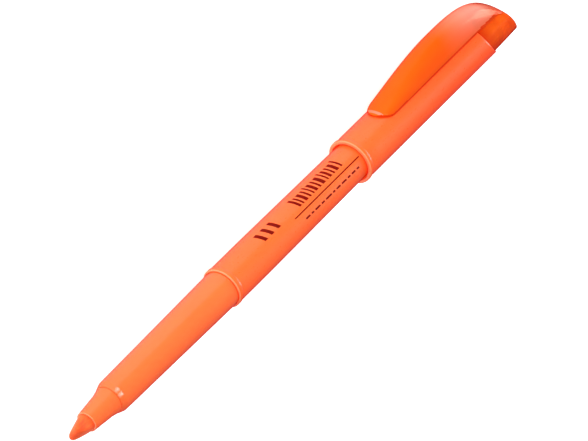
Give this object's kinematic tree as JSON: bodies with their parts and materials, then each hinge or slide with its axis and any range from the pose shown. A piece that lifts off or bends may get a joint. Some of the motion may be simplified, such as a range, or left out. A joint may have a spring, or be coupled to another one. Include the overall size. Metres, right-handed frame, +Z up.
{
  "type": "highlighter pen",
  "caption": "Slim felt-tip highlighter pen with a chisel nib, a tapered grip and a posted cap that has a domed translucent pocket clip.",
  "frame": {"origin": "under the middle of the pen, on the table that it lies on", "axes": "+X along the pen to the nib, +Z up from the table; the pen lies as it comes to rest, on the cap's lip and the clip's side, with the clip towards -Y and 19 degrees down"},
  "size_m": [0.1696, 0.0166, 0.0114],
  "materials": {
    "felt": "dense ink-soaked felt",
    "body_plastic": "fluorescent orange, satin",
    "fibre": "bonded fibre soaked in ink",
    "film": "thin clear film",
    "liner_plastic": "natural, soft",
    "clear_plastic": "translucent orange, polished"
  },
  "bodies": {
    "pen": {"nib": "felt", "front_section": "body_plastic", "barrel": "body_plastic", "reservoir": "fibre", "reservoir_film": "film"},
    "cap": {"cap_tube": "body_plastic", "inner_cap": "liner_plastic", "clip_insert": "clear_plastic"},
    "clip": {"pocket_clip": "clear_plastic"}
  },
  "joints": [
    {"name": "cap_slide", "type": "slide", "parent": "pen", "child": "cap", "axis": [-1, 0, 0], "range_m": [0, 0.035]},
    {"name": "clip_flex", "type": "hinge", "parent": "cap", "child": "clip", "pos_m": [-0.073, -0.00411, 0.00338], "axis": [0, 0.3256, -0.9455], "range_deg": [0, 3.5], "stiffness_Nm_per_rad": 2}
  ]
}
